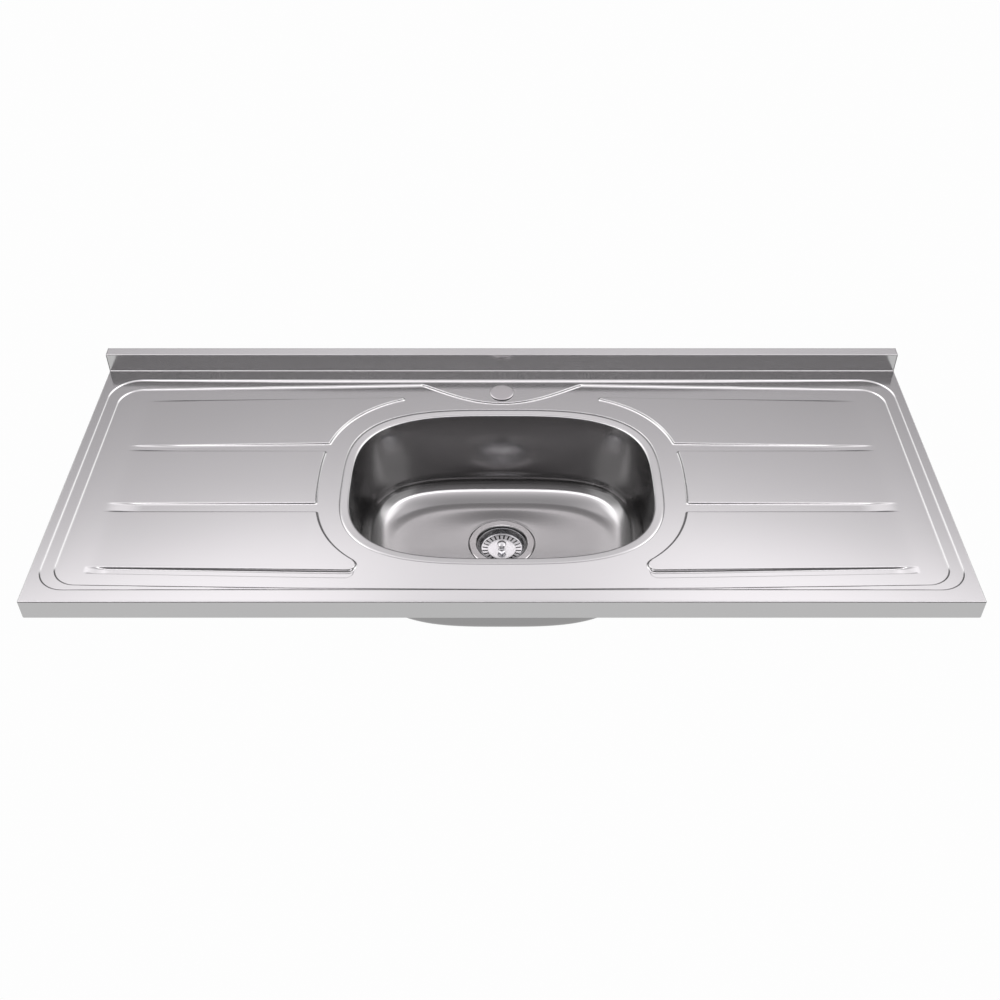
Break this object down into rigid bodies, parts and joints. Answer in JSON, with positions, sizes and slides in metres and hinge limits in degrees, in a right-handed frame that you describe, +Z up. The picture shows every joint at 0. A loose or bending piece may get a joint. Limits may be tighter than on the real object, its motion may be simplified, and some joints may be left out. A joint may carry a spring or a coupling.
{
  "type": "kitchen sink",
  "caption": "Lay-on stainless steel sink top with a central bowl, ribbed drainers each side, a rear upstand, a covered tap hole and a basket strainer waste.",
  "frame": {"origin": "middle of the plane where the folded edge rests on the cabinet, under the middle of the top", "axes": "+X to the right along the length, +Y from the front edge to the wall, +Z up"},
  "size_m": [1.2, 0.5, 0.2473],
  "materials": {
    "deck_steel": "fine satin brushed stainless steel",
    "bowl_steel": "soft satin drawn stainless steel",
    "cover_steel": "satin stainless steel",
    "strainer_steel": "turned stainless steel",
    "bright_steel": "bright plated",
    "chrome": "polished",
    "galvanised": "galvanised",
    "brass": "plain turned",
    "rubber": "matte",
    "sound_pad": "matte embossed",
    "fibre": "pressed fibre",
    "soft_plastic": "matte"
  },
  "bodies": {
    "sink": {"sink_top": "deck_steel", "bowl": "bowl_steel", "bowl_sound_pad": "sound_pad", "left_drainer_pad": "sound_pad", "right_drainer_pad": "sound_pad", "left_stiffener": "galvanised", "right_stiffener": "galvanised", "fixing_brackets": "galvanised", "earth_tag": "galvanised", "earth_screw": "bright_steel", "earth_nut": "brass", "tap_hole_cover": "cover_steel", "tap_cover_gasket": "rubber", "tap_cover_washer": "galvanised", "tap_cover_wing_nut": "bright_steel", "waste_cup": "strainer_steel", "flange_seal": "rubber", "bowl_gasket": "rubber", "friction_ring": "fibre", "waste_locknut": "galvanised", "outlet_spigot": "brass"},
    "basket": {"basket": "chrome", "basket_grommet": "soft_plastic"},
    "stopper": {"stopper_stem": "chrome", "stopper_knob": "chrome", "stopper_seal": "rubber", "seal_retainer": "bright_steel"}
  },
  "joints": [
    {"name": "basket_lift", "type": "slide", "parent": "sink", "child": "basket", "axis": [0, 0, 1], "range_m": [0, 0.2]},
    {"name": "stopper_lift", "type": "slide", "parent": "basket", "child": "stopper", "axis": [0, 0, 1], "range_m": [0, 0.008]}
  ]
}
